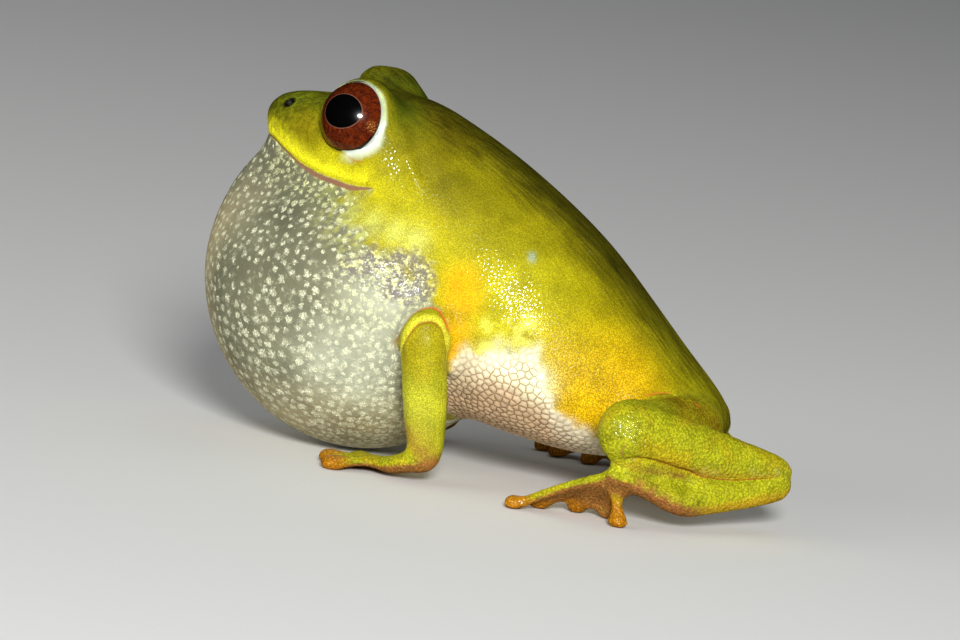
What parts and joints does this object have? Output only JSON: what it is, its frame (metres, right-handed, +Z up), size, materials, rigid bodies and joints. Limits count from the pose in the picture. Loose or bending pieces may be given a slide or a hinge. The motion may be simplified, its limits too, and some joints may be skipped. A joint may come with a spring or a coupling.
{
  "type": "tree frog",
  "caption": "Small bush frog sitting up with its vocal sac blown out, as a still life-size model",
  "frame": {"origin": "on the floor under the middle of the frog's length and width", "axes": "-X the way the frog faces, -Y its left side, +Z up; the flats under its finger and toe pads lie in z = 0"},
  "size_m": [0.0299, 0.0203, 0.0181],
  "materials": {
    "skin": "moist, fine grained",
    "sac": "thin moist skin, slightly clear",
    "eye": "wet, glossy"
  },
  "bodies": {
    "root": {"head": "skin", "trunk": "skin", "vocal_sac": "sac", "eye_left": "eye", "eye_right": "eye", "upper_arm_left": "skin", "forearm_left": "skin", "hand_left": "skin", "thigh_left": "skin", "shank_left": "skin", "tarsus_left": "skin", "foot_left": "skin", "upper_arm_right": "skin", "forearm_right": "skin", "hand_right": "skin", "thigh_right": "skin", "shank_right": "skin", "tarsus_right": "skin", "foot_right": "skin"}
  },
  "joints": []
}
